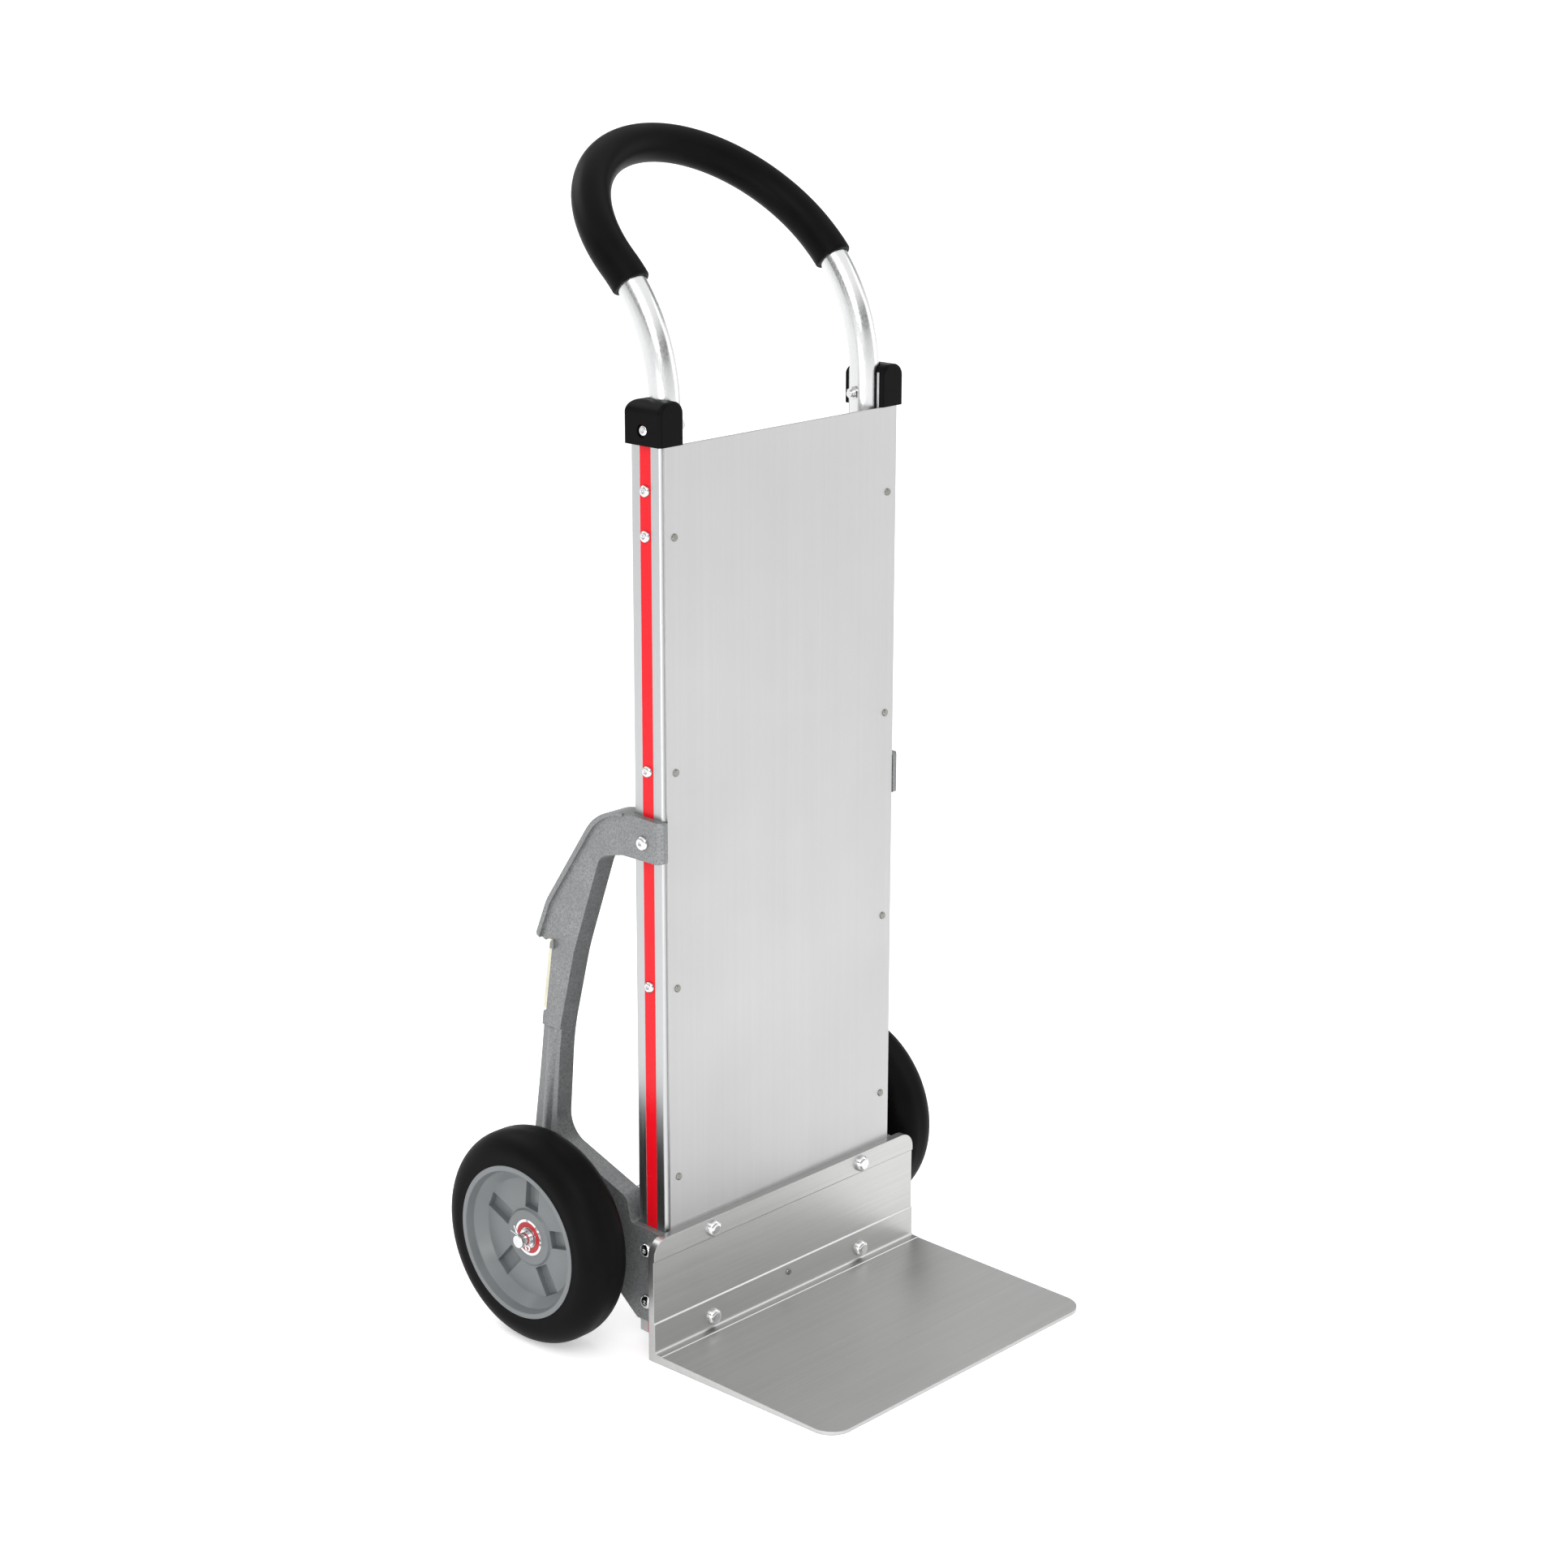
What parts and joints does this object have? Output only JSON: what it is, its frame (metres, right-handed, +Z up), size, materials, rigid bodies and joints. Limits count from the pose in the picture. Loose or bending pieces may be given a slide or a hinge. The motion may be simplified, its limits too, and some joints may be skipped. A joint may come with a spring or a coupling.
{
  "type": "hand truck",
  "caption": "Upright two-wheeled aluminium hand truck with a flat back panel, a bolted nose plate, a loop handle and cast axle brackets.",
  "frame": {"origin": "centre of the footprint on the floor", "axes": "+X to the right seen from the front, +Y to the back (wheels), +Z up along the rails"},
  "size_m": [0.6048, 0.554, 1.378],
  "materials": {
    "rail_aluminium": "extruded, satin, lengthwise grain",
    "trim_red": "glossy red vinyl",
    "panel_aluminium": "sheet, brushed vertically",
    "rivet_metal": "domed, satin",
    "crossbar_aluminium": "extruded, mill finish",
    "zinc_fastener": "bright zinc plate",
    "nose_aluminium": "extruded, brushed along the width",
    "handle_aluminium": "polished tube",
    "grip_black": "soft black sleeve, satin",
    "spacer_metal": "zinc plated, turned",
    "cap_black": "moulded black plastic",
    "casting_metal": "rough cast, tumbled",
    "wear_strip_cream": "cream low-friction plastic",
    "axle_steel": "zinc plated steel",
    "bearing_steel": "ground steel",
    "seal_red": "moulded red seal",
    "tyre_black": "solid cushion rubber, satin",
    "hub_grey": "moulded grey nylon"
  },
  "bodies": {
    "frame": {"left_rail": "rail_aluminium", "right_rail": "rail_aluminium", "left_trim_strip": "trim_red", "right_trim_strip": "trim_red", "back_panel": "panel_aluminium", "panel_rivets": "rivet_metal", "nose_rivet": "rivet_metal", "top_crossbar": "crossbar_aluminium", "middle_crossbar": "crossbar_aluminium", "lower_crossbar": "crossbar_aluminium", "base_crossmember": "crossbar_aluminium", "crossbar_bolts": "zinc_fastener", "nose_bolts": "zinc_fastener", "nose_nuts": "zinc_fastener", "handle_bolts": "zinc_fastener", "handle_nuts": "zinc_fastener", "bracket_bolts": "zinc_fastener", "bracket_nuts": "zinc_fastener", "nose_plate": "nose_aluminium", "handle_tube": "handle_aluminium", "handle_grip": "grip_black", "handle_spacers": "spacer_metal", "left_axle_spacer": "spacer_metal", "right_axle_spacer": "spacer_metal", "left_axle_washer": "spacer_metal", "right_axle_washer": "spacer_metal", "left_rail_cap": "cap_black", "right_rail_cap": "cap_black", "left_axle_bracket": "casting_metal", "right_axle_bracket": "casting_metal", "left_wear_strip": "wear_strip_cream", "right_wear_strip": "wear_strip_cream", "axle": "axle_steel", "left_cotter_pin": "axle_steel", "right_cotter_pin": "axle_steel", "left_inner_races": "bearing_steel", "right_inner_races": "bearing_steel"},
    "left_wheel": {"left_tyre": "tyre_black", "left_hub": "hub_grey", "left_outer_races": "bearing_steel", "left_bearing_balls": "bearing_steel", "left_bearing_seals": "seal_red"},
    "right_wheel": {"right_tyre": "tyre_black", "right_hub": "hub_grey", "right_outer_races": "bearing_steel", "right_bearing_balls": "bearing_steel", "right_bearing_seals": "seal_red"}
  },
  "joints": [
    {"name": "left_wheel_spin", "type": "hinge", "parent": "frame", "child": "left_wheel", "pos_m": [-0.2689, 0.148, 0.129], "axis": [1, 0, 0], "continuous": true},
    {"name": "right_wheel_spin", "type": "hinge", "parent": "frame", "child": "right_wheel", "pos_m": [0.2689, 0.148, 0.129], "axis": [1, 0, 0], "continuous": true}
  ]
}
